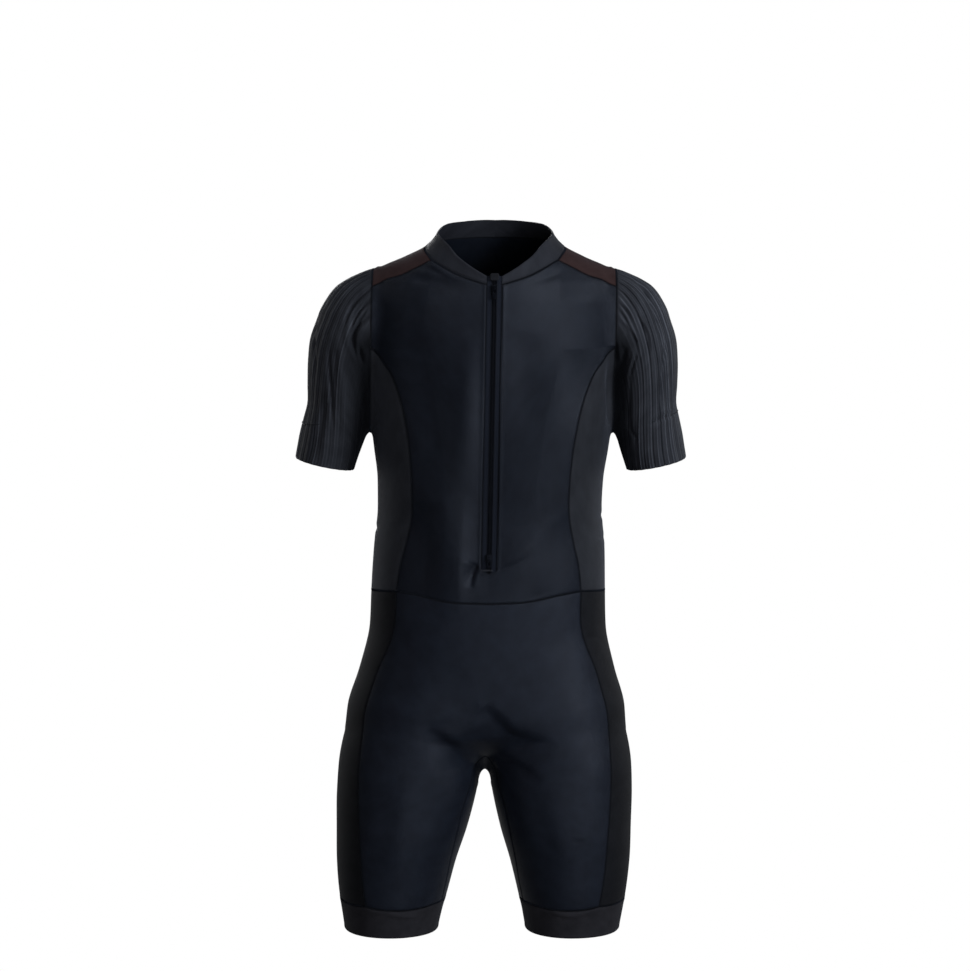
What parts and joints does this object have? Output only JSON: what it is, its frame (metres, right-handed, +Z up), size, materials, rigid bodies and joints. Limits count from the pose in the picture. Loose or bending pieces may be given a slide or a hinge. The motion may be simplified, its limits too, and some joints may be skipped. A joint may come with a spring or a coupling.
{
  "type": "short-sleeve triathlon suit",
  "caption": "One-piece stretch suit in its worn, hollow form, with short ribbed sleeves, a two-way front zip, a low collar and thigh-length legs with hem bands.",
  "frame": {"origin": "between the shoulders, on the shoulder line, where the wearer carries the suit", "axes": "+Z up, -Y out of the suit's front, +X towards the wearer's left"},
  "size_m": [0.5076, 0.2444, 0.9293],
  "materials": {
    "satin_knit": "smooth satin warp knit, navy black",
    "side_knit": "fine knit, greyer and duller",
    "yoke_knit": "matte brushed knit, brown black",
    "collar_knit": "double stretch knit",
    "ribbed_knit": "ribbed knit, low sheen",
    "shorts_knit": "smooth satin warp knit, navy black",
    "leg_side_knit": "dull knit, black",
    "hem_band": "dense elastic knit, matte",
    "zip_tape": "woven tape",
    "zip_coil": "nylon coil",
    "painted_zinc": "black lacquered zinc"
  },
  "bodies": {
    "suit": {"front": "satin_knit", "back": "satin_knit", "side_left": "side_knit", "side_right": "side_knit", "yoke_left": "yoke_knit", "yoke_right": "yoke_knit", "collar": "collar_knit", "sleeve_left": "ribbed_knit", "sleeve_right": "ribbed_knit", "shorts_front": "shorts_knit", "shorts_back": "shorts_knit", "shorts_gusset": "shorts_knit", "shorts_side_left": "leg_side_knit", "shorts_side_right": "leg_side_knit", "gripper_left": "hem_band", "gripper_right": "hem_band", "zip_tape_left": "zip_tape", "zip_tape_right": "zip_tape", "zip_coil": "zip_coil", "zip_garage": "satin_knit", "slider_top": "painted_zinc", "slider_bottom": "painted_zinc"},
    "pull_top": {"pull_top": "painted_zinc"},
    "pull_bottom": {"pull_bottom": "painted_zinc"}
  },
  "joints": [
    {"name": "pull_top_swing", "type": "hinge", "parent": "suit", "child": "pull_top", "pos_m": [-0.00054, -0.09266, -0.02849], "axis": [-1, 0, 0], "range_deg": [0, 110]},
    {"name": "pull_bottom_swing", "type": "hinge", "parent": "suit", "child": "pull_bottom", "pos_m": [-0.00705, -0.11185, -0.371], "axis": [-1, 0, 0], "range_deg": [0, 110]}
  ]
}
